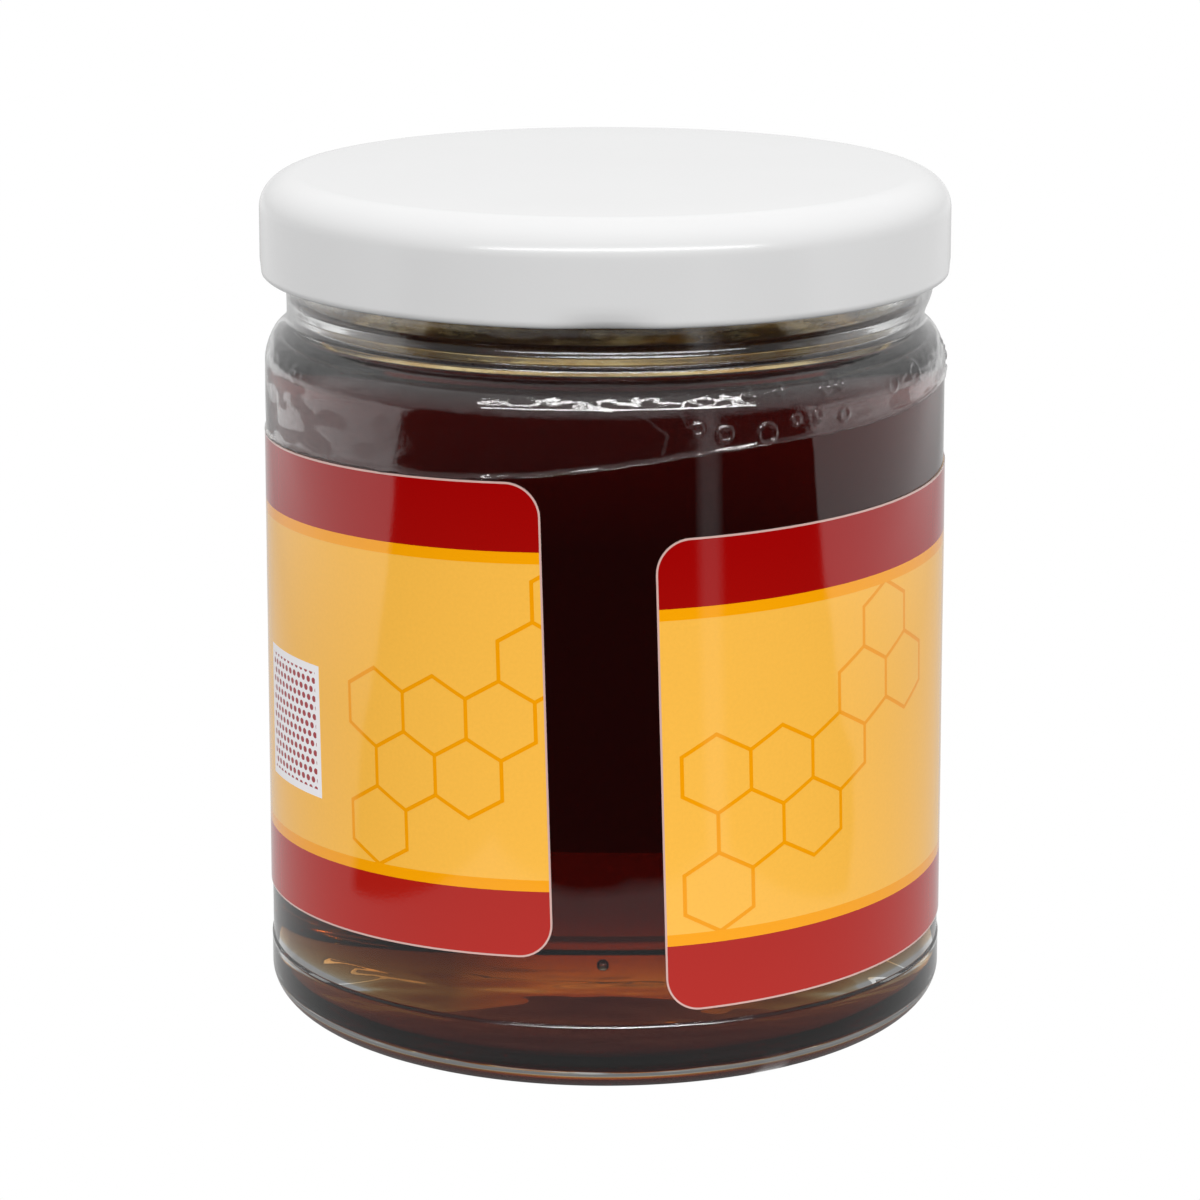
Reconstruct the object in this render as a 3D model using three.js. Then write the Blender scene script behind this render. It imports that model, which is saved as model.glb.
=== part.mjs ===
// A squat glass jar of honey with a white twist-off lid, a paper label wrapped round the body and a
// clear shrunk band over the neck. Millimetres, +Z up. The origin is the middle of the ring on which
// the jar stands, and the gap between the two ends of the label faces -Y.

import * as THREE from 'three';

// Turning
const SEGMENTS = 56;                 // sides of every turned piece
const CLEARANCE = 0.3;               // gap between pieces that touch on the real jar

// Glass, outside
const BODY_RADIUS = 36.1;
const HEEL_RADIUS = 36.25;           // the foot stands a little proud of the body
const HEEL_STEP_Z = 8.2;
const HEEL_STEP_HEIGHT = 0.4;
const HEEL_TOP_Z = 4.9;
const HEEL_INSET = 7.6;              // how far the heel curve runs in towards the standing ring
const STAND_RING_WIDTH = 0.9;
const PUSH_UP_HEIGHT = 3.9;          // hollow under the base, in its middle
const PUSH_UP_EDGE_HEIGHT = 3.0;     // and where it drops to the standing ring
const PUSH_UP_RADIUS = 26.0;
const SHOULDER_Z = 71.0;
const SHOULDER_RISE = 3.4;
const SHOULDER_INSET = 2.2;
const NECK_RADIUS = 32.6;
const RIB_RADIUS = 33.55;            // two rings round the neck, between the shoulder and the lid
const RIB_CRESTS_Z = [75.65, 76.95];
const RIB_RISE = 0.6;                // from a rib's crest up to where its upper flank ends
const RIB_GROOVE_RADIUS = 33.15;     // between the two ribs
const RIB_FOOT_Z = 74.7;
const RIB_FOOT_RADIUS = 33.0;        // the narrow groove between the shoulder and the lower rib
const RIM_Z = 90.0;
const RIM_ROUND = 0.9;

// Glass, inside
const WALL = 2.5;
const BASE_THICKNESS = 3.4;
const INNER_HEEL_ROUND = 7.6;
const INNER_FLOOR_DIP = 0.3;         // how much lower the floor lies at the heel than in its middle
const MOUTH_RADIUS = 30.3;
const INNER_SHOULDER_Z = 68.6;
const INNER_NECK_Z = 74.6;

// Honey
const HONEY_LEVEL_Z = 74.7;

// Lid
const LID_TOP_Z = 91.1;
const LID_RADIUS = 36.6;
const LID_SHEET = 0.5;
const LID_PANEL_RADIUS = 32.2;
const LID_SHOULDER_DROP = 3.6;
const LID_BOTTOM_Z = 80.55;
const CURL_RADIUS = 0.9;
const LUG_COUNT = 4;
const LUG_HALF_WIDTH = 7.0;          // along the rim, from a lug's middle to its end
const LUG_DEPTH = 1.1;
const LUG_RISE = 0.5;

// Label
const LABEL_THICKNESS = 0.15;
const LABEL_HEIGHT = 49.4;
const LABEL_GAP = 12.1;              // bare glass between the two ends
const LABEL_CORNER = 3.6;
const LABEL_TILT = THREE.MathUtils.degToRad(1.55);
const LABEL_START_ANGLE = THREE.MathUtils.degToRad(9.4);
const LABEL_START_Z = 9.65;          // lower edge at the starting end
const LABEL_COLUMNS = 104;
const LABEL_CORNER_COLUMNS = 6;
const LABEL_ROWS = 2;

// Shrunk band
const BAND_THICKNESS = 0.15;
const BAND_CLEARANCE = 0.4;          // from the ribs, past which the band is drawn in
const BAND_TOP_Z = 80.2;             // just under the lid's rolled edge
const BAND_TOP_FLARE = 1.3;          // how much wider the band is at its top than at the ribs
const BAND_FLARE_Z = 78.9;
const BAND_FLARE_SHARE = 0.4;        // part of the flare that is reached at that height
const BAND_EDGE_Z = 66.9;            // mean height of the lower edge
const BAND_EDGE_WAVES = [            // height, waves round the jar, angle of a crest
  { height: 2.55, count: 1, crest: THREE.MathUtils.degToRad(95) },
  { height: 0.3, count: 2, crest: THREE.MathUtils.degToRad(60) },
  { height: 0.3, count: 5, crest: THREE.MathUtils.degToRad(18) },
];

const GLASS = { color: 0xdfe9e4, roughness: 0.03, metalness: 0.0 };
const HONEY = { color: 0x3a0f06, roughness: 0.05, metalness: 0.0 };
const WHITE_ENAMEL = { color: 0xf4f4f4, roughness: 0.35, metalness: 0.0 };
const LABEL_PAPER = { color: 0xf6b43c, roughness: 0.4, metalness: 0.0 };
const CLEAR_FILM = { color: 0xeeeeee, roughness: 0.08, metalness: 0.0 };

function point(radius, z) {
  return new THREE.Vector2(radius, z);
}

// Points on a quarter of an ellipse about (radius, z), from the start angle to the end angle.
function arc(radius, z, reachRadius, reachZ, startDegrees, endDegrees, steps) {
  const points = [];
  for (let i = 0; i <= steps; i += 1) {
    const angle = THREE.MathUtils.degToRad(startDegrees + ((endDegrees - startDegrees) * i) / steps);
    points.push(point(radius + reachRadius * Math.cos(angle), z + reachZ * Math.sin(angle)));
  }
  return points;
}

// Removes a point that falls on the one before it.
function withoutRepeats(points) {
  return points.filter((p, i) => i === 0 || p.distanceTo(points[i - 1]) > 1e-4);
}

// A profile in the (radius, z) half-plane turned about the Z axis.
function turned(points) {
  const geometry = new THREE.LatheGeometry(withoutRepeats(points), SEGMENTS);
  geometry.rotateX(Math.PI / 2);
  return geometry;
}

function standingRingRadius() {
  return HEEL_RADIUS - HEEL_INSET;
}

function glassOutside() {
  const neckBottom = SHOULDER_Z + SHOULDER_RISE;
  const [lowerCrest, upperCrest] = RIB_CRESTS_Z;
  return [
    point(0, PUSH_UP_HEIGHT),
    point(PUSH_UP_RADIUS, PUSH_UP_EDGE_HEIGHT),
    point(standingRingRadius() - STAND_RING_WIDTH, 0),
    ...arc(standingRingRadius(), HEEL_TOP_Z, HEEL_INSET, HEEL_TOP_Z, -90, 0, 7),
    point(HEEL_RADIUS, HEEL_STEP_Z),
    point(BODY_RADIUS, HEEL_STEP_Z + HEEL_STEP_HEIGHT),
    ...arc(BODY_RADIUS - SHOULDER_INSET, SHOULDER_Z, SHOULDER_INSET, SHOULDER_RISE, 0, 84, 5),
    point(RIB_GROOVE_RADIUS, neckBottom),
    point(RIB_FOOT_RADIUS, RIB_FOOT_Z),
    point(RIB_RADIUS, lowerCrest),
    point(RIB_GROOVE_RADIUS, lowerCrest + RIB_RISE),
    point(RIB_RADIUS, upperCrest),
    point(NECK_RADIUS, upperCrest + RIB_RISE),
    ...arc(NECK_RADIUS - RIM_ROUND, RIM_Z - RIM_ROUND, RIM_ROUND, RIM_ROUND, 0, 90, 3),
  ];
}

// The inner surface from the mouth down to the middle of the base, drawn in by the given amount.
function glassInside(inset) {
  const wall = BODY_RADIUS - WALL - inset;
  const base = PUSH_UP_HEIGHT + BASE_THICKNESS + inset;
  const mouth = MOUTH_RADIUS - inset;
  const round = INNER_HEEL_ROUND - inset;
  return [
    ...arc(mouth + RIM_ROUND, RIM_Z - RIM_ROUND, RIM_ROUND, RIM_ROUND, 90, 180, 3),
    point(mouth, INNER_NECK_Z),
    ...arc(mouth, INNER_SHOULDER_Z, wall - mouth, INNER_NECK_Z - INNER_SHOULDER_Z, 75, 0, 4),
    ...arc(wall - round, base - INNER_FLOOR_DIP + round, round, round, 0, -90, 5),
    point(0, base),
  ];
}

function makeGlassJar() {
  return turned([...glassOutside(), ...glassInside(0)]);
}

// Honey up to its level: the inner surface, drawn in by the clearance and cut off flat at the top.
function makeHoney() {
  const below = glassInside(CLEARANCE).filter((p) => p.y < HONEY_LEVEL_Z - CLEARANCE);
  const surfaceRadius = MOUTH_RADIUS - CLEARANCE;
  const profile = [point(0, HONEY_LEVEL_Z), point(surfaceRadius, HONEY_LEVEL_Z), ...below];
  return turned(profile.reverse());
}

function lidProfile() {
  const skirtTop = LID_TOP_Z - LID_SHOULDER_DROP;
  const curlZ = LID_BOTTOM_Z + CURL_RADIUS;
  const shoulderReach = LID_RADIUS - LID_PANEL_RADIUS;
  return [
    point(0, LID_TOP_Z - LID_SHEET),
    ...arc(
      LID_PANEL_RADIUS,
      skirtTop,
      shoulderReach - LID_SHEET,
      LID_SHOULDER_DROP - LID_SHEET,
      90,
      0,
      4,
    ),
    point(LID_RADIUS - LID_SHEET, curlZ + CURL_RADIUS),
    ...arc(LID_RADIUS - CURL_RADIUS, curlZ, CURL_RADIUS, CURL_RADIUS, 150, 360, 6),
    ...arc(LID_PANEL_RADIUS, skirtTop, shoulderReach, LID_SHOULDER_DROP, 0, 90, 5),
    point(0, LID_TOP_Z),
  ];
}

// How far into a lug an angle lies: 1 in its middle and 0 outside it.
function lugDepthAt(angle) {
  const pitch = (2 * Math.PI) / LUG_COUNT;
  const fromMiddle = angle - pitch * Math.round(angle / pitch);
  const share = Math.min(1, Math.abs(fromMiddle * LID_RADIUS) / LUG_HALF_WIDTH);
  return 0.5 + 0.5 * Math.cos(Math.PI * share);
}

// Presses the curl inward at the lugs that hold the lid on the thread.
function pressLugs(geometry) {
  const position = geometry.attributes.position;
  const pressedBelow = LID_BOTTOM_Z + 2 * CURL_RADIUS;
  for (let i = 0; i < position.count; i += 1) {
    const x = position.getX(i);
    const y = position.getY(i);
    const z = position.getZ(i);
    if (z < pressedBelow) {
      const depth = lugDepthAt(Math.atan2(x, -y)) * ((pressedBelow - z) / (2 * CURL_RADIUS));
      const radius = Math.hypot(x, y);
      const scale = (radius - LUG_DEPTH * depth) / radius;
      position.setXYZ(i, x * scale, y * scale, z + LUG_RISE * depth);
    }
  }
}

function makeLid() {
  const geometry = turned(lidProfile());
  pressLugs(geometry);
  return geometry;
}

// Joins a grid of points, closed round both ways when asked, into triangles that face out.
function gridGeometry(rows, columns, closedRound, pointAt) {
  const positions = [];
  for (let column = 0; column < columns; column += 1) {
    for (let row = 0; row < rows; row += 1) {
      positions.push(...pointAt(column, row));
    }
  }
  const index = [];
  const steps = closedRound ? columns : columns - 1;
  for (let column = 0; column < steps; column += 1) {
    const next = ((column + 1) % columns) * rows;
    for (let row = 0; row < rows; row += 1) {
      const a = column * rows + row;
      const b = column * rows + ((row + 1) % rows);
      const c = next + row;
      const d = next + ((row + 1) % rows);
      index.push(a, c, b, b, c, d);
    }
  }
  if (!closedRound) {
    for (let row = 1; row < rows - 1; row += 1) {
      const last = (columns - 1) * rows;
      index.push(0, row, row + 1);
      index.push(last, last + row + 1, last + row);
    }
  }
  const geometry = new THREE.BufferGeometry();
  geometry.setAttribute('position', new THREE.Float32BufferAttribute(positions, 3));
  geometry.setIndex(index);
  geometry.computeVertexNormals();
  return geometry;
}

// Distances along the label at which it has a column: close together at the round corners.
function labelColumnPositions(length) {
  const distances = [];
  for (let i = 0; i < LABEL_CORNER_COLUMNS; i += 1) {
    const angle = (Math.PI / 2) * (i / LABEL_CORNER_COLUMNS);
    distances.push(LABEL_CORNER * (1 - Math.cos(angle)));
  }
  const straight = length - 2 * LABEL_CORNER;
  const between = LABEL_COLUMNS - 2 * LABEL_CORNER_COLUMNS;
  for (let i = 0; i <= between; i += 1) {
    distances.push(LABEL_CORNER + (straight * i) / between);
  }
  for (let i = LABEL_CORNER_COLUMNS - 1; i >= 0; i -= 1) {
    distances.push(length - distances[i]);
  }
  return distances;
}

// A sheet of paper wrapped round the body: the flat label is tilted a little and rolled up.
function makeLabel() {
  const insideRadius = BODY_RADIUS + CLEARANCE;
  const outsideRadius = insideRadius + LABEL_THICKNESS;
  const length = 2 * Math.PI * insideRadius - LABEL_GAP;
  const distances = labelColumnPositions(length);
  const rows = 2 * (LABEL_ROWS + 1);

  const pointAt = (column, row) => {
    const along = distances[column];
    const toEnd = Math.min(along, length - along);
    const fromCorner = Math.max(0, LABEL_CORNER - toEnd);
    const cut = LABEL_CORNER - Math.sqrt(LABEL_CORNER ** 2 - fromCorner ** 2);
    const outer = row <= LABEL_ROWS;
    const step = outer ? row : rows - 1 - row;
    const up = cut + ((LABEL_HEIGHT - 2 * cut) * step) / LABEL_ROWS;
    const round = along * Math.cos(LABEL_TILT) - up * Math.sin(LABEL_TILT);
    const z = LABEL_START_Z + along * Math.sin(LABEL_TILT) + up * Math.cos(LABEL_TILT);
    const angle = LABEL_START_ANGLE + round / insideRadius;
    const radius = outer ? outsideRadius : insideRadius;
    return [radius * Math.sin(angle), -radius * Math.cos(angle), z];
  };
  return gridGeometry(rows, distances.length, false, pointAt);
}

// Height of the band's lower edge at an angle.
function bandEdgeZ(angle) {
  let z = BAND_EDGE_Z;
  for (const wave of BAND_EDGE_WAVES) {
    z += wave.height * Math.cos(wave.count * (angle - wave.crest));
  }
  return z;
}

// The inside of the band from its top edge under the lid down to the straight body.
function bandInside() {
  const ribClear = RIB_RADIUS + BAND_CLEARANCE;
  const shoulderInset = SHOULDER_INSET + CLEARANCE;
  const shoulderCentre = BODY_RADIUS - SHOULDER_INSET;
  return [
    point(ribClear + BAND_TOP_FLARE, BAND_TOP_Z),
    point(ribClear + BAND_TOP_FLARE * BAND_FLARE_SHARE, BAND_FLARE_Z),
    ...RIB_CRESTS_Z.map((z) => point(ribClear, z)).reverse(),
    ...arc(shoulderCentre, SHOULDER_Z, shoulderInset, SHOULDER_RISE + CLEARANCE, 62, 0, 5),
  ];
}

// A thin clear sleeve that hangs from the lid's edge, is drawn in at the neck and lies on the shoulder.
function makeShrinkBand() {
  const inside = bandInside();
  const wall = inside.map((p) => ({ radius: p.x, z: p.y, hem: false }));
  wall.push({ radius: BODY_RADIUS + CLEARANCE, z: 0, hem: true });
  const rows = 2 * wall.length;

  const pointAt = (column, row) => {
    const angle = -(2 * Math.PI * column) / SEGMENTS;
    const outer = row < wall.length;
    const station = wall[outer ? row : rows - 1 - row];
    const radius = station.radius + (outer ? BAND_THICKNESS : 0);
    const z = station.hem ? bandEdgeZ(angle) : station.z;
    return [radius * Math.sin(angle), -radius * Math.cos(angle), z];
  };
  return gridGeometry(rows, SEGMENTS, true, pointAt);
}

function named(name, geometry, finish) {
  const mesh = new THREE.Mesh(geometry, new THREE.MeshStandardMaterial(finish));
  mesh.name = name;
  return mesh;
}

const jar = new THREE.Group();
jar.add(named('glass_jar', makeGlassJar(), GLASS));
jar.add(named('honey', makeHoney(), HONEY));
jar.add(named('lid', makeLid(), WHITE_ENAMEL));
jar.add(named('label', makeLabel(), LABEL_PAPER));
jar.add(named('shrink_band', makeShrinkBand(), CLEAR_FILM));

export default jar;
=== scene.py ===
# %% [markdown]
# # A squat jar of dark honey
# A moulded glass jar, filled with honey, shut by a white twist-off lid, wrapped in a printed label
# and sealed by a clear shrunk band. The CAD model gives every piece its place and size, so the
# first step loads it. All that follows dresses that frame and moves nothing.

# %% Load the frame
import math
import random
import bpy
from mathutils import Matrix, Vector, noise


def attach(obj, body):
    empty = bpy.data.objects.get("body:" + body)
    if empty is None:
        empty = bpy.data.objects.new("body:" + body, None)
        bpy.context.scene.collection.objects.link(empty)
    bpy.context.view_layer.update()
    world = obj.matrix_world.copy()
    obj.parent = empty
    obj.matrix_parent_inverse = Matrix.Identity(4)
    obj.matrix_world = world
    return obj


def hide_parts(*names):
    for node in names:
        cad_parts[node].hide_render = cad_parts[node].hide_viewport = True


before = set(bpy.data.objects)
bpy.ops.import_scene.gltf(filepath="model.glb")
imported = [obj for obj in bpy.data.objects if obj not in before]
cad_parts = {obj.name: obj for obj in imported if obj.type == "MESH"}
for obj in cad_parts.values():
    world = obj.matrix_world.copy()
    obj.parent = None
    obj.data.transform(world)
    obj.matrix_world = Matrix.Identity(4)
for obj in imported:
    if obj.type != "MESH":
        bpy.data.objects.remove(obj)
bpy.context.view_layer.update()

# %% [markdown]
# ## Sizes
# The driving sizes of the CAD model, in millimetres. A few differ by some tenths: the solids keep
# small gaps where pieces touch, and the label was measured once more. A jar is easiest to think of in
# millimetres and Blender works in metres, so each point is scaled once, where it is made.
# Angles round the jar start at the front, -Y, and grow towards +X.

# %% Sizes
MM = 0.001
LID_TOP_Z = 91.1
LID_RADIUS = 36.6
LID_PANEL_RADIUS = 32.2
LID_SHOULDER_DROP = 3.6
LID_BOTTOM_Z = 80.35
CURL_RADIUS = 0.8

BODY_RADIUS = 36.15
HEEL_RADIUS = 36.27
HEEL_TOP_Z = 4.9
HEEL_INSET = 7.6
SEAM_Z = 8.35
SHOULDER_Z = 71.0
SHOULDER_RISE = 2.95
SHOULDER_INSET = 2.2
NECK_RADIUS = 32.6
RIB_RADIUS = 33.6
RIB_CRESTS_Z = (75.65, 76.95)
RIB_GROOVE_RADIUS = 33.2
RIB_FOOT_Z = 74.7
RIM_Z = 90.0
MOUTH_RADIUS = 30.3
WALL = 2.5
INNER_SHOULDER_Z = 68.6
INNER_NECK_Z = 74.6
INNER_HEEL_ROUND = 7.6
INNER_FLOOR_DIP = 0.3
PUSH_UP_HEIGHT = 3.9
PUSH_UP_EDGE_HEIGHT = 3.0
PUSH_UP_RADIUS = 26.0
PUSH_UP_WALL = [
    (25.8, 2.9), (26.3, 2.6), (26.7, 2.0), (27.1, 1.1), (27.45, 0.35), (27.75, 0.07), (28.05, 0.0),
]
BASE_THICKNESS = 3.4
HONEY_LEVEL_Z = 74.7

LABEL_RADIUS = 36.2
LABEL_THICKNESS = 0.10
LABEL_LENGTH = 215.95
LABEL_HEIGHT = 49.4
LABEL_CORNER = 3.6
LABEL_TILT = math.radians(1.55)
LABEL_START_ANGLE = math.radians(10.0)
LABEL_START_Z = 9.65

TURN = 2 * math.pi


def on_circle(radius, angle, z):
    """A point in metres, from a radius and height in millimetres and an angle from the front."""
    return Vector((radius * math.sin(angle), -radius * math.cos(angle), z)) * MM


def angle_of(point):
    """Angle of a point round the jar, from the front."""
    return math.atan2(point.x, -point.y)


def smooth_step(low, high, value):
    """Eases from 0 at the low value to 1 at the high one, or the other way where low is above high."""
    share = min(1.0, max(0.0, (value - low) / (high - low)))
    return share * share * (3.0 - 2.0 * share)


print("label turns through", round(math.degrees(LABEL_LENGTH / LABEL_RADIUS), 1), "degrees")

# %% [markdown]
# ## Camera
# The jar was photographed from about half a metre, a little above it, with a long lens. A camera could
# be aimed by hand until the picture fits, but numbers fitted to the rims of the lid and the foot are
# surer. The frame's middle lies off the lens axis, which a small shift gives without tilting the uprights.
# Light passes many faces of glass and film, so it is allowed many bounces.

# %% Camera
CAMERA_DISTANCE = 490.6
CAMERA_HEIGHT = 163.15
CAMERA_PITCH = math.radians(11.79)
LENS = 140.37
SHIFT_X = -0.0043
SHIFT_Y = -0.125

scene = bpy.context.scene
bpy.ops.object.select_all(action="DESELECT")
bpy.ops.object.camera_add(
    location=(0.0, -CAMERA_DISTANCE * MM, CAMERA_HEIGHT * MM),
    rotation=(math.pi / 2 - CAMERA_PITCH, 0.0, 0.0),
)
camera = bpy.context.active_object
camera.name = "camera"
camera.data.lens = LENS
camera.data.sensor_width = 36.0
camera.data.shift_x = SHIFT_X
camera.data.shift_y = SHIFT_Y
camera.data.clip_start = 0.01
scene.camera = camera
scene.view_settings.view_transform = "Standard"
scene.cycles.max_bounces = 32
scene.cycles.transmission_bounces = 26
scene.cycles.glossy_bounces = 8
scene.cycles.diffuse_bounces = 4
scene.cycles.sample_clamp_indirect = 40.0
print("camera at", tuple(round(v, 4) for v in camera.location))

# %% [markdown]
# ## Modelling helpers
# Jar, honey, lid and band are all bodies of revolution. Cylinders could be inset and scaled ring by ring,
# but a lathe is closer to how such things are drawn: half an outline in the plane of the axis, made by
# pulling one vertex along with extrusion, and then spun once round. Doubles on the axis are merged
# and the normals turned outward.

# %% Helper: points on an outline
def arc(radius, z, reach_radius, reach_z, start, end, steps):
    """Points on an ellipse about (radius, z), from one angle in degrees to another."""
    points = []
    for i in range(steps + 1):
        angle = math.radians(start + (end - start) * i / steps)
        points.append((radius + reach_radius * math.cos(angle), z + reach_z * math.sin(angle)))
    return points


def line(start, end, steps):
    """Points along a straight stretch, without its two ends."""
    return [
        (start[0] + (end[0] - start[0]) * i / steps, start[1] + (end[1] - start[1]) * i / steps)
        for i in range(1, steps)
    ]


# %% Helper: spin an outline into a piece
def spin_outline(name, outline, sides, closed):
    """Spins an outline of radii and heights in millimetres once round the jar's axis."""
    bpy.ops.object.select_all(action="DESELECT")
    bpy.ops.mesh.primitive_plane_add(size=MM)
    piece = bpy.context.active_object
    piece.name = name
    piece.data.name = name
    bpy.ops.object.mode_set(mode="EDIT")
    bpy.ops.mesh.merge(type="CENTER")
    outline = [p for i, p in enumerate(outline) if i == 0 or math.dist(p, outline[i - 1]) > 1e-4]
    stations = [Vector((radius * MM, 0.0, z * MM)) for radius, z in outline]
    bpy.ops.transform.translate(value=stations[0])
    for here, there in zip(stations, stations[1:]):
        bpy.ops.mesh.extrude_region_move(TRANSFORM_OT_translate={"value": there - here})
    bpy.ops.mesh.select_all(action="SELECT")
    bpy.ops.mesh.spin(steps=sides, angle=TURN, center=(0, 0, 0), axis=(0, 0, 1))
    bpy.ops.mesh.select_all(action="SELECT")
    bpy.ops.mesh.remove_doubles(threshold=0.00002)
    if closed:
        bpy.ops.mesh.normals_make_consistent(inside=False)
    bpy.ops.object.mode_set(mode="OBJECT")
    bpy.ops.object.shade_smooth_by_angle(angle=math.radians(50))
    print(name, len(piece.data.vertices), "vertices")
    return piece


def finish_piece(piece, node):
    """Hangs the piece on the root body and hides the CAD node that it stands in for."""
    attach(piece, "root")
    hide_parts(node)


# %% Helper: materials
def new_material(name):
    """A new material made of nodes."""
    material = bpy.data.materials.new(name)
    material.use_nodes = True
    return material


def main_shader(material):
    """The shader node that a new material starts with."""
    return material.node_tree.nodes["Principled BSDF"]


def math_node(tree, operation, first, second=None):
    """A Math node whose inputs are sockets or plain numbers; gives its output socket."""
    node = tree.nodes.new("ShaderNodeMath")
    node.operation = operation
    for socket, value in zip(node.inputs, (first, second)):
        if value is None:
            continue
        if isinstance(value, (int, float)):
            socket.default_value = value
        else:
            tree.links.new(value, socket)
    return node.outputs[0]


def noise_node(tree, vector, scale, detail=2.0, roughness=0.5):
    """Cloudy noise from 0 to 1; scale is how many clouds go into a unit."""
    node = tree.nodes.new("ShaderNodeTexNoise")
    node.inputs["Scale"].default_value = scale
    node.inputs["Detail"].default_value = detail
    node.inputs["Roughness"].default_value = roughness
    tree.links.new(vector, node.inputs["Vector"])
    return node.outputs["Fac"]


def map_range(tree, value, from_low, from_high, to_low, to_high):
    """Carries a value from one range over to another and holds it inside that."""
    node = tree.nodes.new("ShaderNodeMapRange")
    ends = {"From Min": from_low, "From Max": from_high, "To Min": to_low, "To Max": to_high}
    for name, end in ends.items():
        node.inputs[name].default_value = end
    tree.links.new(value, node.inputs["Value"])
    return node.outputs["Result"]


def mix_color(tree, factor, low, high):
    """Mixes two colours, each a socket or a plain tuple, by a factor socket."""
    node = tree.nodes.new("ShaderNodeMix")
    node.data_type = "RGBA"
    tree.links.new(factor, node.inputs["Factor"])
    for socket, value in ((node.inputs[6], low), (node.inputs[7], high)):
        if isinstance(value, tuple):
            socket.default_value = (*value, 1.0)
        else:
            tree.links.new(value, socket)
    return node.outputs[2]


def bump_node(tree, height, strength, distance):
    """Tilts the shading as if the surface rose by the given height."""
    node = tree.nodes.new("ShaderNodeBump")
    node.inputs["Strength"].default_value = strength
    node.inputs["Distance"].default_value = distance
    tree.links.new(height, node.inputs["Height"])
    return node.outputs["Normal"]


def object_coordinates(tree):
    """Places in metres from the jar's own origin."""
    return tree.nodes.new("ShaderNodeTexCoord").outputs["Object"]


def split(tree, vector):
    """The three parts of a vector, each as a socket."""
    node = tree.nodes.new("ShaderNodeSeparateXYZ")
    tree.links.new(vector, node.inputs["Vector"])
    return node.outputs


def apart(tree, value, other):
    """How far two values lie apart."""
    return math_node(tree, "ABSOLUTE", math_node(tree, "SUBTRACT", value, other))


def clouded_material(name, scale, detail, dark, light, roughness):
    """A finish whose colour drifts a little between two tones."""
    material = new_material(name)
    tree = material.node_tree
    shader = main_shader(material)
    cloud = noise_node(tree, object_coordinates(tree), scale, detail)
    tree.links.new(mix_color(tree, cloud, dark, light), shader.inputs["Base Color"])
    shader.inputs["Roughness"].default_value = roughness
    return material


def clear_material(name, color, ior, roughness=0.0):
    """A see-through finish; the number ior says how much it bends light."""
    material = new_material(name)
    shader = main_shader(material)
    shader.inputs["Base Color"].default_value = (*color, 1.0)
    shader.inputs["Roughness"].default_value = roughness
    shader.inputs["IOR"].default_value = ior
    shader.inputs["Transmission Weight"].default_value = 1.0
    return material


# %% [markdown]
# ## Jar glass
# The jar is blown in a mould, with a true wall, a hollow under its base and two ribs on its neck. Its wall
# is part of one closed outline, because glass looks right only when light enters and leaves it twice.
# Soda-lime glass bends light by 1.5 against air. Where honey wets the wall the two bend light
# almost alike, so that boundary can't be seen on the real jar. The wetted inner faces therefore
# get a second glass that neither bends nor mirrors, and only the faces that meet air are bright.
# Above the honey the neck is smeared with a thin film of it, which tints the light gold in patches.
# A few narrow faces lean back just enough to mirror the long lamp, as the bright lines in the photo do.

# %% Faces that mirror the lamp
LAMP_SPREAD = 2.4
NECK_LAMP_LEAN = 19.5
SEAM_LAMP_LEAN = 25.4
RIB_FLANK_SLOPE = 0.385


def facing_lamp(start, height, lean):
    """A small rounded face that leans back by about the angle at which it mirrors the long lamp."""
    points = []
    for i in range(7):
        share = i / 6
        slope = math.tan(math.radians(lean + LAMP_SPREAD * (share - 0.5)))
        points.append((start[0] - height * share * slope, start[1] + height * share))
    return points


# %% Glass outline
def push_up(radius):
    """Height of the hollow under the base."""
    return PUSH_UP_HEIGHT + (PUSH_UP_EDGE_HEIGHT - PUSH_UP_HEIGHT) * radius / PUSH_UP_RADIUS


def rib_flank(foot, crest):
    """The straight flank below a rib's crest, which slopes in towards the groove."""
    top = (RIB_RADIUS - 0.07, crest - 0.08)
    start = (top[0] - RIB_FLANK_SLOPE * (top[1] - foot), foot)
    return [start] + line(start, top, 9) + [top]


def neck_ribs(neck_bottom):
    """A groove and two ribs; the groove's foot and the upper rib's back face the lamp."""
    groove = RIB_GROOVE_RADIUS
    lower, upper = RIB_CRESTS_Z
    outline = facing_lamp((groove + 0.42, neck_bottom + 0.02), 0.5, NECK_LAMP_LEAN)
    outline += [(groove + 0.1, neck_bottom + 0.62), (groove, RIB_FOOT_Z)]
    outline += rib_flank(RIB_FOOT_Z + 0.04, lower)
    outline += arc(RIB_RADIUS - 0.1, lower, 0.1, 0.08, -35, 70, 7)
    outline += [(groove + 0.1, lower + 0.26), (groove + 0.03, lower + 0.36), (groove, lower + 0.5)]
    outline += rib_flank(upper - 0.74, upper)
    outline += facing_lamp((RIB_RADIUS - 0.03, upper + 0.05), 0.45, NECK_LAMP_LEAN)
    outline += arc(NECK_RADIUS + 0.1, upper + 0.55, RIB_RADIUS - NECK_RADIUS - 0.3, 0.45, 20, 75, 6)
    outline += [(NECK_RADIUS, upper + 1.2)]
    return outline


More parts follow.
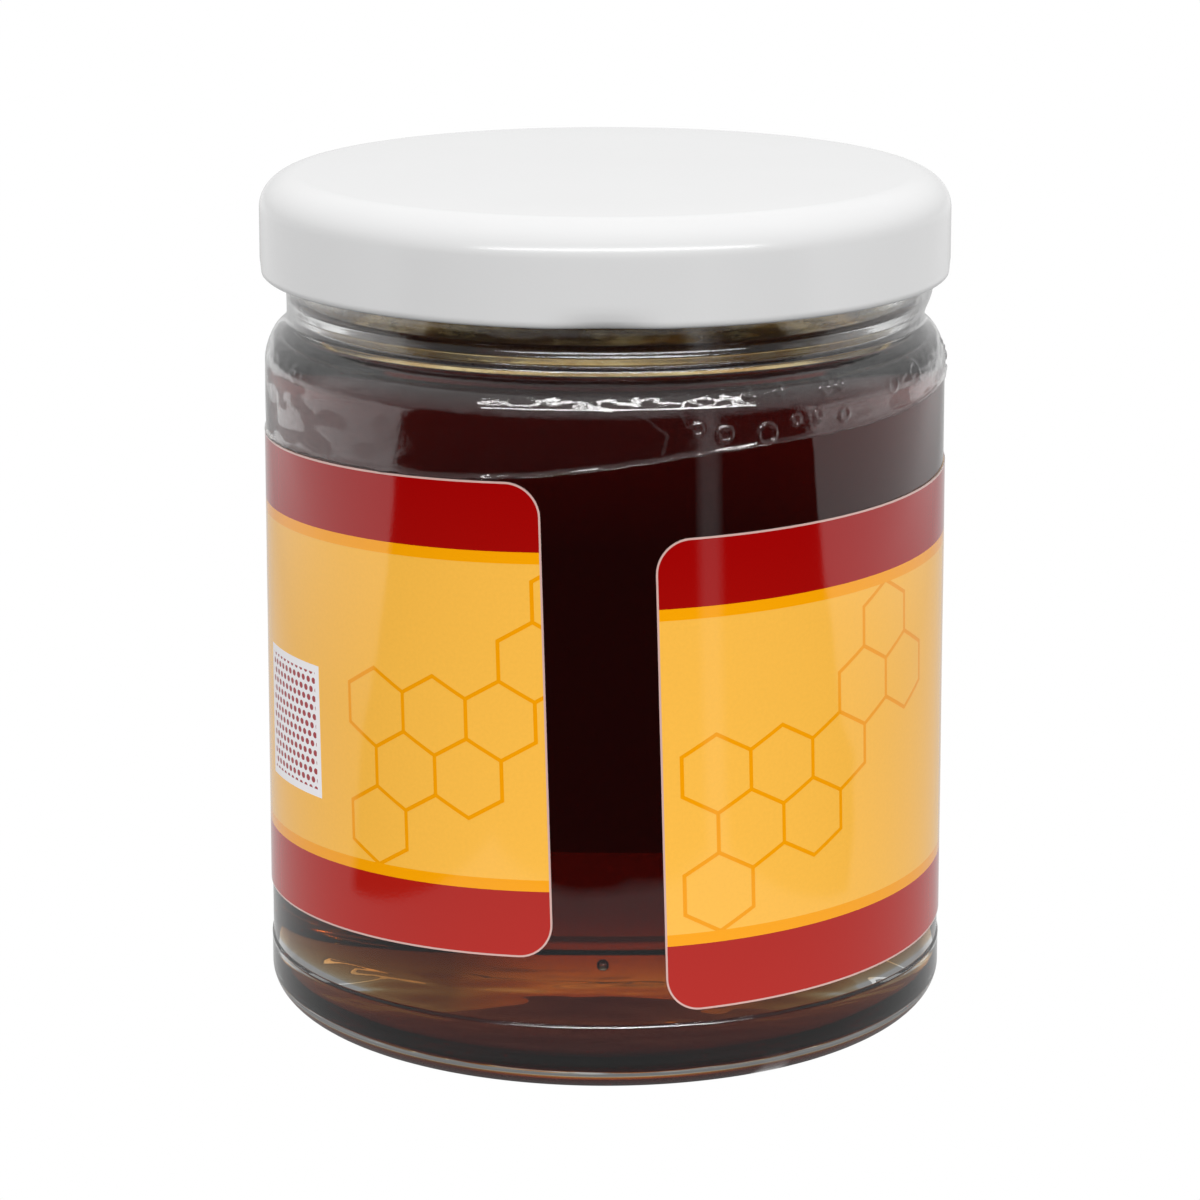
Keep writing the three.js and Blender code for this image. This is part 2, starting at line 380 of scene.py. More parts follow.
def glass_outside():
    """The outer face, from the middle of the hollow under the base up to the top of the rim."""
    ring = HEEL_RADIUS - HEEL_INSET
    neck_bottom = SHOULDER_Z + SHOULDER_RISE
    shoulder_centre = BODY_RADIUS - SHOULDER_INSET
    outline = [(0.0, PUSH_UP_HEIGHT)] + [(radius, push_up(radius)) for radius in range(2, 26)]
    outline += PUSH_UP_WALL
    outline += arc(ring, HEEL_TOP_Z, HEEL_INSET, HEEL_TOP_Z, -90, 0, 22)
    outline += [(HEEL_RADIUS, 6.0), (HEEL_RADIUS, 7.2), (HEEL_RADIUS, SEAM_Z - 0.5)]
    outline += [(HEEL_RADIUS + 0.02, SEAM_Z - 0.34)]
    outline += facing_lamp((HEEL_RADIUS + 0.01, SEAM_Z - 0.27), 0.3, SEAM_LAMP_LEAN)
    outline += [(BODY_RADIUS, SEAM_Z + 0.14)]
    outline += line((BODY_RADIUS, SEAM_Z + 0.14), (BODY_RADIUS, SHOULDER_Z), 26)
    outline += arc(shoulder_centre, SHOULDER_Z, SHOULDER_INSET, SHOULDER_RISE, 0, 86, 18)
    outline += neck_ribs(neck_bottom)
    outline += [(NECK_RADIUS, 79.0), (NECK_RADIUS, 84.5)]
    outline += arc(NECK_RADIUS - 0.9, RIM_Z - 0.9, 0.9, 0.9, 0, 90, 6)
    return outline


def glass_inside(inset):
    """The hollow from the mouth down to the middle of the base, drawn in by the given amount."""
    wall = BODY_RADIUS - WALL - inset
    base = PUSH_UP_HEIGHT + BASE_THICKNESS + inset
    mouth = MOUTH_RADIUS - inset
    heel = INNER_HEEL_ROUND - inset
    outline = arc(mouth + 0.9, RIM_Z - 0.9, 0.9, 0.9, 90, 180, 6)
    outline += [(mouth, 84.0), (mouth, 82.0), (mouth, 79.0), (mouth, HONEY_LEVEL_Z + 1.6)]
    outline += [(mouth, HONEY_LEVEL_Z + 0.02)]
    outline += arc(mouth, INNER_SHOULDER_Z, wall - mouth, INNER_NECK_Z - INNER_SHOULDER_Z, 86, 0, 16)
    outline += line((wall, INNER_SHOULDER_Z), (wall, base - INNER_FLOOR_DIP + heel), 24)
    outline += arc(wall - heel, base - INNER_FLOOR_DIP + heel, heel, heel, 0, -90, 18)
    outline += [(16.0, base - 0.12), (8.0, base - 0.03), (0.0, base)]
    return outline


# %% Glass body
GLASS_SIDES = 288
glass = spin_outline("glass_body", glass_outside() + glass_inside(0.0), GLASS_SIDES, True)

# %% Marks of the mould
WALL_WAVE = 0.22
WALL_STREAK_SHARE = 0.35
MIDDLE_RADIUS = 5.0
HOLLOW_WAVES = ((0.16, 110, 1.0), (0.05, 300, 6.0))
HOLLOW_EDGE = 25.5
HOLLOW_FADE = 23.5
SEAM_WAVES = ((0.05, 0.3, 1.0), (0.012, 1.1, 5.0))
SEAM_REACH = 0.4
MOUTH_MARGIN = 0.4
WALL_MARGIN = 0.6
BASE_MARGIN = 1.5
HOLLOW_MARGIN = 0.5


def distance_from_axis(point):
    """Distance of a point from the jar's axis, in metres."""
    return math.hypot(point.x, point.y)


def is_inner(point):
    """Whether a point lies on the inner face of the glass."""
    radius = distance_from_axis(point) / MM
    z = point.z / MM
    if z < PUSH_UP_HEIGHT + BASE_MARGIN:
        return False
    if z > INNER_NECK_Z:
        return radius < MOUTH_RADIUS + MOUTH_MARGIN
    return radius < BODY_RADIUS - WALL + WALL_MARGIN


def is_hollow(point):
    """Whether a point lies on the hollow under the base, inside the standing ring."""
    return distance_from_axis(point) < HOLLOW_EDGE * MM and point.z < (PUSH_UP_HEIGHT + HOLLOW_MARGIN) * MM


def is_seam(point):
    """Whether a point lies on the ridge that the mould's two halves leave above the foot."""
    near_ridge = abs(point.z - (SEAM_Z - 0.1) * MM) < SEAM_REACH * MM
    return near_ridge and distance_from_axis(point) > (BODY_RADIUS - 1.0) * MM


def push_out(vertex, distance):
    """Moves a point away from the jar's axis by a distance in metres."""
    radius = distance_from_axis(vertex.co)
    vertex.co.x *= (radius + distance) / radius
    vertex.co.y *= (radius + distance) / radius


def move_wall(vertex):
    """Moves a point of an inner face in or out, as a moulded wall runs thick and thin."""
    point = vertex.co
    slow = noise.noise(Vector((point.x * 38, point.y * 38, point.z * 26 + 3.0)))
    streaks = noise.noise(Vector((point.x * 60, point.y * 60, point.z * 190 + 9.0)))
    push_out(vertex, WALL_WAVE * (slow + WALL_STREAK_SHARE * streaks) * MM)


def move_hollow(vertex):
    """Gives the hollow the shallow waves that a cold mould leaves."""
    fade = smooth_step(HOLLOW_EDGE * MM, HOLLOW_FADE * MM, distance_from_axis(vertex.co))
    waves = 0.0
    for height, scale, seed in HOLLOW_WAVES:
        waves += height * noise.noise(Vector((vertex.co.x * scale, vertex.co.y * scale, seed)))
    vertex.co.z += waves * fade * MM


def move_seam(vertex):
    """Lets the ridge wander up and down a little, so that its bright line breaks up."""
    round_jar = angle_of(vertex.co) * BODY_RADIUS
    for height, scale, seed in SEAM_WAVES:
        vertex.co.z += height * noise.noise(Vector((round_jar * scale, seed, 2.0))) * MM


moved = 0
for vertex in glass.data.vertices:
    if is_inner(vertex.co) and distance_from_axis(vertex.co) > MIDDLE_RADIUS * MM:
        move_wall(vertex)
    elif is_hollow(vertex.co):
        move_hollow(vertex)
    elif is_seam(vertex.co):
        move_seam(vertex)
    else:
        continue
    moved += 1
print("points of the glass moved:", moved, "of", len(glass.data.vertices))

# %% Glass materials
GLASS_TINT = (0.985, 1.0, 0.99)
GLASS_IOR = 1.5
SMEAR_TOP_Z = 82.0
SMEAR_THICK = (0.62, 0.34, 0.08)
SMEAR_THIN = (0.98, 0.79, 0.4)
PATCH_SCALE = 170.0
STREAK_SCALE = 150.0
STREAKS_FROM_Z = 77.5
STREAKS_FULL_Z = 78.2


def smeared_glass_material():
    """Glass under a thin film of honey: gold in patches, and milky in level streaks above the ribs."""
    material = clear_material("smeared_glass", GLASS_TINT, GLASS_IOR)
    tree = material.node_tree
    shader = main_shader(material)
    place = object_coordinates(tree)
    smear = map_range(tree, noise_node(tree, place, PATCH_SCALE, 3.0, 0.6), 0.36, 0.6, 0.0, 1.0)
    tree.links.new(mix_color(tree, smear, SMEAR_THICK, SMEAR_THIN), shader.inputs["Base Color"])
    flattened = tree.nodes.new("ShaderNodeMapping")
    flattened.inputs["Scale"].default_value = (1.0, 1.0, 5.0)
    tree.links.new(place, flattened.inputs["Vector"])
    streaks = noise_node(tree, flattened.outputs["Vector"], STREAK_SCALE, 4.0, 0.65)
    height = split(tree, place)["Z"]
    above_ribs = map_range(tree, height, STREAKS_FROM_Z * MM, STREAKS_FULL_Z * MM, 0.0, 1.0)
    milky = math_node(tree, "MULTIPLY", map_range(tree, streaks, 0.42, 0.6, 0.12, 0.7), above_ribs)
    tree.links.new(math_node(tree, "SUBTRACT", 1.0, milky), shader.inputs["Transmission Weight"])
    return material


air_glass = clear_material("jar_glass", GLASS_TINT, GLASS_IOR)
wet_glass = clear_material("wetted_glass", GLASS_TINT, 1.0)
smeared_glass = smeared_glass_material()
for material in (air_glass, wet_glass, smeared_glass):
    glass.data.materials.append(material)
wet_faces = 0
for face in glass.data.polygons:
    if not is_inner(face.center):
        continue
    if face.center.z < HONEY_LEVEL_Z * MM:
        face.material_index = 1
        wet_faces += 1
    elif face.center.z < SMEAR_TOP_Z * MM:
        face.material_index = 2
finish_piece(glass, "glass_jar")
print("faces wetted by honey:", wet_faces)

# %% [markdown]
# ## Honey
# The honey fills the hollow up to its level and reaches a hair into the glass, so that no air gap
# shows. A dark surface colour would look like paint behind glass. Real honey is clear, and its colour comes
# from the depth that light crosses, so the material is a volume that soaks up blue first, then
# green, then red. At the wall the honey climbs a little. One bubble of air hangs near the foot.

# %% Honey body
HONEY_OVERLAP = 0.05
MENISCUS_RISE = 0.55
MENISCUS_WIDTH = 0.9
SURFACE_RINGS = (0.0, 8.0, 16.0, 22.0, 26.0, 27.5, 28.5, 29.2, 29.7, 30.0, 30.2)


def honey_outline():
    """The honey's surface and its side, from the middle of the base up and back to the axis."""
    rim = MOUTH_RADIUS + HONEY_OVERLAP
    surface = []
    for radius in (*SURFACE_RINGS, rim):
        climb = MENISCUS_RISE * math.exp((radius - rim) / MENISCUS_WIDTH)
        surface.append((radius, HONEY_LEVEL_Z - 0.1 + climb))
    side = [p for p in glass_inside(-HONEY_OVERLAP) if p[1] < HONEY_LEVEL_Z]
    return (surface + side)[::-1]


honey = spin_outline("honey_fill", honey_outline(), GLASS_SIDES, True)
air_contact = honey.data.attributes.new("open_to_air", "FLOAT", "FACE")
for vertex in honey.data.vertices:
    if vertex.co.z < (HONEY_LEVEL_Z - 0.3) * MM and distance_from_axis(vertex.co) > MIDDLE_RADIUS * MM:
        move_wall(vertex)
for face in honey.data.polygons:
    open_face = face.normal.z > 0.3 and face.center.z > (HONEY_LEVEL_Z - 1.0) * MM
    air_contact.data[face.index].value = 1.0 if open_face else 0.0
print("honey faces open to air:", sum(item.value > 0.5 for item in air_contact.data))

# %% Air bubble in the honey
BUBBLE_RADIUS = 0.62
BUBBLE_PLACE = on_circle(32.6, math.radians(-0.4), 14.1)

bpy.ops.object.select_all(action="DESELECT")
bpy.ops.mesh.primitive_uv_sphere_add(
    segments=32, ring_count=20, radius=BUBBLE_RADIUS * MM, location=BUBBLE_PLACE
)
bubble = bpy.context.active_object
bpy.ops.object.transform_apply(location=True)
bpy.ops.object.shade_smooth()
bpy.ops.object.mode_set(mode="EDIT")
bpy.ops.mesh.select_all(action="SELECT")
bpy.ops.mesh.flip_normals()
bpy.ops.object.mode_set(mode="OBJECT")
bubble_contact = bubble.data.attributes.new("open_to_air", "FLOAT", "FACE")
for item in bubble_contact.data:
    item.value = 1.0
honey.select_set(True)
bpy.context.view_layer.objects.active = honey
bpy.ops.object.join()
print("honey with its bubble:", len(honey.data.polygons), "faces")

# %% Honey material
HONEY_DENSITY = 200.0
HONEY_TINT = (0.78, 0.48, 0.0)
HONEY_IOR = 1.49

honey_material = clear_material("dark_honey", (1.0, 1.0, 1.0), HONEY_IOR)
nodes = honey_material.node_tree.nodes
links = honey_material.node_tree.links
contact = nodes.new("ShaderNodeAttribute")
contact.attribute_name = "open_to_air"
bending = map_range(honey_material.node_tree, contact.outputs["Fac"], 0.0, 1.0, 1.0, HONEY_IOR)
links.new(bending, main_shader(honey_material).inputs["IOR"])
absorption = nodes.new("ShaderNodeVolumeAbsorption")
absorption.inputs["Color"].default_value = (*HONEY_TINT, 1.0)
absorption.inputs["Density"].default_value = HONEY_DENSITY
links.new(absorption.outputs["Volume"], nodes["Material Output"].inputs["Volume"])
honey.data.materials.append(honey_material)
finish_piece(honey, "honey")
print("honey soaks up", [round(HONEY_DENSITY * (1 - c)) for c in HONEY_TINT], "per metre")

# %% [markdown]
# ## Lid
# A twist-off lid is pressed from thin tin plate, white outside and gold lacquered inside, with its
# edge rolled into a bead and pressed in at four lugs. A cylinder with bevelled edges would give its outside
# alone. The spun outline includes the wall's two faces and the bead, and after spinning, the rolled
# edge is pushed in at each lug.

# %% Lid body
LID_SIDES = 360
LID_SHEET = 0.3
LUG_HALF_WIDTH = 7.0
LUG_DEPTH = 0.7
LUGS = 4


def lid_outline():
    """The sheet's inside from the axis out and down, round the rolled edge, and back up the outside."""
    skirt_top = LID_TOP_Z - LID_SHOULDER_DROP
    curl_z = LID_BOTTOM_Z + CURL_RADIUS
    reach = LID_RADIUS - LID_PANEL_RADIUS
    outline = [(radius, LID_TOP_Z - LID_SHEET) for radius in (0.0, 10.0, 22.0)]
    outline += arc(LID_PANEL_RADIUS, skirt_top, reach - LID_SHEET, LID_SHOULDER_DROP - LID_SHEET, 90, 0, 14)
    outline += line((LID_RADIUS - LID_SHEET, skirt_top), (LID_RADIUS - LID_SHEET, curl_z + 1.4), 4)
    outline += [(LID_RADIUS - LID_SHEET, curl_z + 1.2)]
    outline += arc(LID_RADIUS - CURL_RADIUS, curl_z, CURL_RADIUS, CURL_RADIUS, 140, 360, 22)
    outline += [(LID_RADIUS, curl_z + 0.12)]
    outline += line((LID_RADIUS, curl_z + 0.12), (LID_RADIUS, skirt_top), 7)
    outline += arc(LID_PANEL_RADIUS, skirt_top, reach, LID_SHOULDER_DROP, 0, 90, 24)
    outline += [(radius, LID_TOP_Z) for radius in (24.0, 12.0, 0.0)]
    return outline


lid = spin_outline("lid_shell", lid_outline(), LID_SIDES, True)


def lug_depth(angle):
    """How far into a lug an angle lies: 1 in its middle and 0 outside it."""
    apart = TURN / LUGS
    from_middle = angle - apart * round(angle / apart)
    share = min(1.0, abs(from_middle * LID_RADIUS) / LUG_HALF_WIDTH)
    return 0.5 + 0.5 * math.cos(math.pi * share)


pressed_below = (LID_BOTTOM_Z + 2 * CURL_RADIUS) * MM
for vertex in lid.data.vertices:
    if vertex.co.z < pressed_below:
        share = (pressed_below - vertex.co.z) / (2 * CURL_RADIUS * MM)
        depth = lug_depth(angle_of(vertex.co)) * smooth_step(0.0, 1.0, share)
        push_out(vertex, -LUG_DEPTH * MM * depth)
print("lid pressed in at", LUGS, "lugs by", LUG_DEPTH, "mm")

# %% Lid materials
ENAMEL = ((0.64, 0.64, 0.642), (0.66, 0.66, 0.662))
LACQUER = ((0.72, 0.5, 0.2), (0.84, 0.62, 0.3))


def is_lid_inside(face):
    """Whether a face of the lid is on its lacquered inside, above the rolled edge."""
    radius = distance_from_axis(face.center)
    outward = Vector((face.center.x, face.center.y, 0.0)).normalized() if radius > 0 else Vector()
    if radius < LID_PANEL_RADIUS * MM:
        turned_in = face.normal.z < -0.2
    else:
        turned_in = face.normal.dot(outward) < 0.2 and face.normal.z < 0.5
    return turned_in and face.center.z > (LID_BOTTOM_Z + 2.2 * CURL_RADIUS) * MM


enamel = clouded_material("white_enamel", 55.0, 3.0, *ENAMEL, 0.22)
shader = main_shader(enamel)
shader.inputs["IOR"].default_value = 1.48
tree = enamel.node_tree
grain = noise_node(tree, object_coordinates(tree), 2600.0, 2.0)
tree.links.new(bump_node(tree, grain, 0.12, 0.00006), shader.inputs["Normal"])
gold = clouded_material("gold_lacquer", 240.0, 3.0, *LACQUER, 0.28)
main_shader(gold).inputs["Metallic"].default_value = 1.0
lid.data.materials.append(enamel)
lid.data.materials.append(gold)
for face in lid.data.polygons:
    if is_lid_inside(face):
        face.material_index = 1
print("lid faces lacquered gold:", sum(face.material_index == 1 for face in lid.data.polygons))
finish_piece(lid, "lid")

# %% [markdown]
# ## Label
# A printed paper label with round corners, tilted a little as it was stuck on. It could be cut out of a
# cylinder, but its corners and print are easiest to get right on a flat sheet. So it is modelled
# flat, as it comes off its roll: a plane with bevelled corners, cut into narrow strips. Its flat
# place is kept as a UV map, then each point is rolled onto the jar. The print is worked out from that
# map: bands, stripes, a repeated honeycomb and a panel of dots. The red is painted lighter towards the
# foot, as painted light from below. Light that soaks through the paper from outside is painted on its
# back as a faint glow, stronger towards the top.

# %% Label sheet, flat
LABEL_STRIPS = 150
LABEL_ROWS = 16
UV_PER_MM = 0.01


def cut_across(length, pieces, direction):
    """Cuts the flat sheet into equal pieces along one direction."""
    for i in range(1, pieces):
        bpy.ops.mesh.select_all(action="SELECT")
        cut = length * MM * i / pieces
        bpy.ops.mesh.bisect(plane_co=(cut * direction[0], cut * direction[1], 0), plane_no=direction)


bpy.ops.object.select_all(action="DESELECT")
bpy.ops.mesh.primitive_plane_add(size=1.0)
label = bpy.context.active_object
label.name = "label_sheet"
label.data.name = "label_sheet"
label.scale = (LABEL_LENGTH * MM, LABEL_HEIGHT * MM, 1.0)
label.location = (LABEL_LENGTH * MM / 2, LABEL_HEIGHT * MM / 2, 0.0)
bpy.ops.object.transform_apply(location=True, scale=True)
bpy.ops.object.mode_set(mode="EDIT")
bpy.ops.mesh.select_all(action="SELECT")
bpy.ops.mesh.bevel(affect="VERTICES", offset=LABEL_CORNER * MM, segments=10)
cut_across(LABEL_LENGTH, LABEL_STRIPS, (1, 0, 0))
cut_across(LABEL_HEIGHT, LABEL_ROWS, (0, 1, 0))
bpy.ops.object.mode_set(mode="OBJECT")
flat_map = label.data.uv_layers.new(name="label_flat")
for loop in label.data.loops:
    flat = label.data.vertices[loop.vertex_index].co
    flat_map.data[loop.index].uv = (flat.x / MM * UV_PER_MM, flat.y / MM * UV_PER_MM)
print("label pieces:", len(label.data.polygons))

# %% Label sheet, rolled onto the jar
LABEL_RIPPLE = 0.02


def rolled(flat):
    """Where a point of the flat label lies on the jar."""
    along = flat.x / MM
    up = flat.y / MM
    round_jar = along * math.cos(LABEL_TILT) - up * math.sin(LABEL_TILT)
    z = LABEL_START_Z + along * math.sin(LABEL_TILT) + up * math.cos(LABEL_TILT)
    ripple = noise.noise(Vector((along * 0.09, up * 0.14, 5.0)))
    radius = LABEL_RADIUS + LABEL_RIPPLE * (1.0 + ripple)
    return on_circle(radius, LABEL_START_ANGLE + round_jar / LABEL_RADIUS, z)


for vertex in label.data.vertices:
    vertex.co = rolled(vertex.co)
label.data.update()
bpy.context.view_layer.objects.active = label
paper_thickness = label.modifiers.new("paper_thickness", "SOLIDIFY")
paper_thickness.thickness = LABEL_THICKNESS * MM
paper_thickness.offset = 1.0
paper_thickness.use_even_offset = True
paper_thickness.material_offset = 1
paper_thickness.material_offset_rim = 2
print("label rolled, with its start at", round(math.degrees(LABEL_START_ANGLE), 1), "degrees")

# %% Label print
RED_DARKER_ABOVE = (0.33, 0.0, 0.0)
RED_PAINTED_LIT_BELOW = (0.43, 0.012, 0.006)
FIELD = (0.93, 0.487, 0.066)
FIELD_SPECKLE = 0.04
STRIPE = (0.92, 0.36, 0.0)
COMB_LINE = (0.88, 0.33, 0.0)
BORDER = (0.62, 0.4, 0.36)
BORDER_WIDTH = 0.2
PANEL_WHITE = (0.86, 0.84, 0.86)
PANEL_INK = (0.34, 0.02, 0.03)
PANEL_MIDDLE = (180.6, 20.45)
PANEL_SIZE = (13.4, 14.1)
PANEL_MARGIN = 0.8
PANEL_PITCH = 1.12
PANEL_DOT = 0.34
LOWER_BAND_TOP = 7.0
LOWER_STRIPE_TOP = 8.2
UPPER_STRIPE_BOTTOM = 41.05
CELL_WIDTH = 7.4
CELL_HEIGHT = 8.3
CELL_LINE = 0.42
COMB_START_U = 5.84
COMB_START_V = 12.27
COMB_REPEAT = 63.5
COMB_CELLS = ((0, 0), (1, -1), (2, -1), (1, -2), (2, -2), (3, -2), (4, -3), (5, -3), (5, -4))


def hexagon_group():
    """A node group that draws one upright hexagon's outline about a centre given in its inputs."""
    group = bpy.data.node_groups.new("hexagon_outline", "ShaderNodeTree")
    for name in ("Along", "Up", "Centre along", "Centre up"):
        group.interface.new_socket(name=name, in_out="INPUT", socket_type="NodeSocketFloat")
    group.interface.new_socket(name="Line", in_out="OUTPUT", socket_type="NodeSocketFloat")
    inputs = group.nodes.new("NodeGroupInput").outputs
    outputs = group.nodes.new("NodeGroupOutput").inputs
    across = math_node(group, "DIVIDE", apart(group, inputs[0], inputs[2]), CELL_WIDTH / 2)
    upward = math_node(group, "DIVIDE", apart(group, inputs[1], inputs[3]), CELL_HEIGHT / 2)
    slanted = math_node(group, "ADD", upward, math_node(group, "MULTIPLY", across, 0.5))
    size = math_node(group, "MAXIMUM", across, slanted)
    on_line = math_node(group, "LESS_THAN", apart(group, size, 1.0), CELL_LINE / CELL_WIDTH)
    group.links.new(on_line, outputs[0])
    return group


def distance_to_edge(tree, along, up):
    """Distance in millimetres from the label's round-cornered outline, measured inward."""
    outside = []
    for place, length in ((along, LABEL_LENGTH), (up, LABEL_HEIGHT)):
        from_middle = apart(tree, place, length / 2)
        outside.append(math_node(tree, "SUBTRACT", from_middle, length / 2 - LABEL_CORNER))
    past = [math_node(tree, "MAXIMUM", amount, 0.0) for amount in outside]
    squares = [math_node(tree, "MULTIPLY", amount, amount) for amount in past]
    corner = math_node(tree, "SQRT", math_node(tree, "ADD", squares[0], squares[1]))
    straight = math_node(tree, "MINIMUM", math_node(tree, "MAXIMUM", outside[0], outside[1]), 0.0)
    return math_node(tree, "SUBTRACT", LABEL_CORNER, math_node(tree, "ADD", corner, straight))


def printed_panel(tree, along, up):
    """A white panel filled with a plain staggered pattern of dots; gives masks of the panel and its ink."""
    from_middle = []
    for place, middle in zip((along, up), PANEL_MIDDLE):
        from_middle.append(math_node(tree, "SUBTRACT", place, middle))
    inside = []
    printed = []
    for distance, size in zip(from_middle, PANEL_SIZE):
        reach = math_node(tree, "ABSOLUTE", distance)
        inside.append(math_node(tree, "LESS_THAN", reach, size / 2))
        printed.append(math_node(tree, "LESS_THAN", reach, size / 2 - PANEL_MARGIN))
    row = math_node(tree, "DIVIDE", from_middle[1], PANEL_PITCH * math.sqrt(3) / 2)
    row_number = math_node(tree, "FLOOR", row)
    stagger = math_node(tree, "MULTIPLY", math_node(tree, "FLOORED_MODULO", row_number, 2.0), 0.5)
    column = math_node(tree, "ADD", math_node(tree, "DIVIDE", from_middle[0], PANEL_PITCH), stagger)
    across = math_node(tree, "SUBTRACT", math_node(tree, "FRACT", column), 0.5)
    upward = math_node(tree, "SUBTRACT", math_node(tree, "FRACT", row), 0.5)
    squares = [math_node(tree, "MULTIPLY", amount, amount) for amount in (across, upward)]
    from_dot = math_node(tree, "SQRT", math_node(tree, "ADD", squares[0], squares[1]))
    dot = math_node(tree, "LESS_THAN", from_dot, PANEL_DOT)
    ink = math_node(tree, "MULTIPLY", dot, math_node(tree, "MULTIPLY", printed[0], printed[1]))
    return math_node(tree, "MULTIPLY", inside[0], inside[1]), ink


def honeycomb(tree, along, up):
    """One group of outlined cells, repeated round the label; gives a mask of its lines."""
    in_repeat = math_node(tree, "MODULO", along, COMB_REPEAT)
    group = hexagon_group()
    comb = None
    for q, r in COMB_CELLS:
        cell = tree.nodes.new("ShaderNodeGroup")
        cell.node_tree = group
        tree.links.new(in_repeat, cell.inputs[0])
        tree.links.new(up, cell.inputs[1])
        cell.inputs[2].default_value = COMB_START_U + CELL_WIDTH * (q + r / 2)
        cell.inputs[3].default_value = COMB_START_V - 0.75 * CELL_HEIGHT * r
        comb = cell.outputs[0] if comb is None else math_node(tree, "MAXIMUM", comb, cell.outputs[0])
    return comb


def label_print():
    """The printed front: stripes, honeycomb, panel, the pale cut edge and red bands painted lighter towards
    the foot, as painted light from below.
    """
    material = new_material("label_print")
    tree = material.node_tree
    shader = main_shader(material)
    flat = tree.nodes.new("ShaderNodeUVMap")
    flat.uv_map = "label_flat"
    parts = split(tree, flat.outputs["UV"])
    along = math_node(tree, "MULTIPLY", parts["X"], 1 / UV_PER_MM)
    up = math_node(tree, "MULTIPLY", parts["Y"], 1 / UV_PER_MM)
    panel, ink = printed_panel(tree, along, up)
    middle = (LOWER_STRIPE_TOP + UPPER_STRIPE_BOTTOM) / 2
    from_middle = apart(tree, up, middle)
    in_stripe = math_node(tree, "GREATER_THAN", from_middle, middle - LOWER_STRIPE_TOP)
    in_band = math_node(tree, "GREATER_THAN", from_middle, middle - LOWER_BAND_TOP)
    to_edge = distance_to_edge(tree, along, up)
    on_border = math_node(tree, "LESS_THAN", to_edge, BORDER_WIDTH)
    speckle = noise_node(tree, flat.outputs["UV"], 260.0, 2.0)
    darker = tuple((1.0 - FIELD_SPECKLE) * c for c in FIELD)
    lighter = tuple(min(1.0, (1.0 + FIELD_SPECKLE) * c) for c in FIELD)
    field = mix_color(tree, speckle, darker, lighter)
    # Painted light: the red runs from a darker red at the top to a lighter red at the foot, as if light
    # from the table below fell on it.
    height_share = math_node(tree, "DIVIDE", up, LABEL_HEIGHT)
    red = mix_color(tree, height_share, RED_PAINTED_LIT_BELOW, RED_DARKER_ABOVE)
    color = mix_color(tree, honeycomb(tree, along, up), field, COMB_LINE)
    color = mix_color(tree, panel, color, mix_color(tree, ink, PANEL_WHITE, PANEL_INK))
    color = mix_color(tree, in_stripe, color, STRIPE)
    color = mix_color(tree, in_band, color, red)
    color = mix_color(tree, on_border, color, BORDER)
    tree.links.new(color, shader.inputs["Base Color"])
    shader.inputs["Roughness"].default_value = 0.07
    shader.inputs["IOR"].default_value = 1.5
    tree.links.new(bump_node(tree, speckle, 0.06, 0.00004), shader.inputs["Normal"])
    return material


PAPER = ((0.72, 0.7, 0.66), (0.8, 0.78, 0.74))
CUT_EDGE = ((0.45, 0.36, 0.34), (0.6, 0.5, 0.48))
GLOW_FROM_Z = 47.0
GLOW_TO_Z = 62.0
GLOW_BELOW = 0.18
GLOW_ABOVE = 0.52


def label_back():
    """White paper; the little light that soaks through it is painted on its back as a faint glow, stronger
    towards the top.
    """
    material = clouded_material("label_back", 900.0, 3.0, *PAPER, 0.7)
    tree = material.node_tree
    shader = main_shader(material)
    shader.inputs["Emission Color"].default_value = (1.0, 0.75, 0.5, 1.0)
    height = split(tree, object_coordinates(tree))["Z"]
    # Painted glow: emission that grows with height stands in for light coming through the paper.
    glow = map_range(tree, height, GLOW_FROM_Z * MM, GLOW_TO_Z * MM, GLOW_BELOW, GLOW_ABOVE)
    tree.links.new(glow, shader.inputs["Emission Strength"])
    return material


cut_edge = clouded_material("label_edge", 1500.0, 2.0, *CUT_EDGE, 0.6)
for material in (label_print(), label_back(), cut_edge):
    label.data.materials.append(material)
bpy.ops.object.modifier_apply(modifier="paper_thickness")
bpy.ops.object.shade_smooth_by_angle(angle=math.radians(30))
finish_piece(label, "label")
face_counts = [sum(face.material_index == i for face in label.data.polygons) for i in range(3)]
print("label faces, front, back and edge:", face_counts)

# %% [markdown]
# ## Shrunk band
# A sleeve of clear film, shrunk by hot air so that it grips the lid, is drawn in at the neck and
# lies on the shoulder. Film shrinks unevenly, so its lower edge wanders and it keeps creases,
# small blisters and pleats. A bump map alone would leave the sleeve's outline smooth, and a cloth
# simulation wouldn't put each mark where the photo has it. So a smooth sleeve is spun first, and then
# its points are moved by the sum of those marks, as one would push them in by sculpting. The points
# stand closer together at the front right and lower down, where most of the marks are.

# %% Band sleeve
BAND_SIDES = 680
BAND_ROWS = 66
BAND_FINE_MIDDLE = 25.0
BAND_TOP_Z = 80.75
BAND_DRAWN_HEIGHT = 17.0
BAND_LIES_AT = 36.2
BAND_THICKNESS = 0.05
BAND_PROFILE = [
    (35.6, BAND_TOP_Z), (35.0, 80.4), (34.6, 79.7), (34.3, 78.6), (34.1, 77.6), (33.92, 76.8),
    (33.85, 76.0), (33.9, 75.5), (34.3, 75.1), (34.85, 74.7), (35.2, 74.27), (35.5, 73.8),
    (35.73, 73.25), (35.89, 72.75), (36.05, 72.25), (36.15, 71.9), (BAND_LIES_AT, 71.4),
    (BAND_LIES_AT, 70.8), (BAND_LIES_AT, 60.0),
]
BAND_LOOSE = 0.4
BAND_EDGE_Z = 66.65
BAND_EDGE_WAVES = ((2.8, 1, 95.0), (0.3, 2, 60.0), (0.3, 5, 18.0))
EASING_REACH = 0.3


